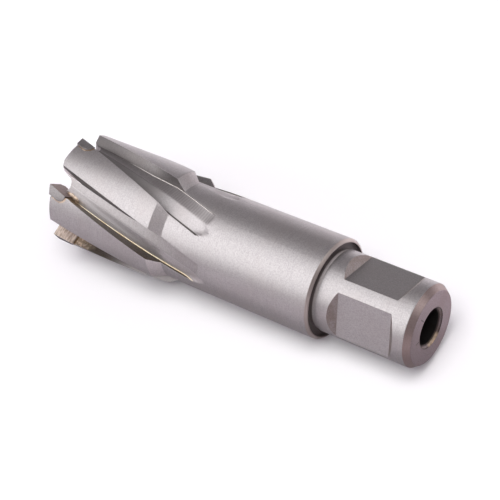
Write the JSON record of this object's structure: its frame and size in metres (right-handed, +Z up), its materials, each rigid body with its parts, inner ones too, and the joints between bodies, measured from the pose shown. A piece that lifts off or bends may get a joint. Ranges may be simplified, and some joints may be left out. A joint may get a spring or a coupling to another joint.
{
  "type": "annular cutter",
  "caption": "Carbide-tipped annular cutter: hollow steel body with raised helical lands between flutes, brazed teeth, plain neck, flatted straight shank and pilot bore.",
  "frame": {"origin": "under the middle of the tool, at the level of its lowest tip", "axes": "+X along the tool's axis from the teeth to the shank's end, +Z up as it lies, -Y towards the side with the second drive flat"},
  "size_m": [0.0964, 0.0272, 0.0275],
  "materials": {
    "steel": "ground and milled, satin",
    "carbide": "ground, semi-matt",
    "braze": "as brazed, satin"
  },
  "bodies": {
    "root": {"cutter_body": "steel", "carbide_tip_1": "carbide", "carbide_tip_2": "carbide", "carbide_tip_3": "carbide", "carbide_tip_4": "carbide", "carbide_tip_5": "carbide", "carbide_tip_6": "carbide", "braze_seam_1": "braze", "braze_seam_2": "braze", "braze_seam_3": "braze", "braze_seam_4": "braze", "braze_seam_5": "braze", "braze_seam_6": "braze"}
  },
  "joints": []
}
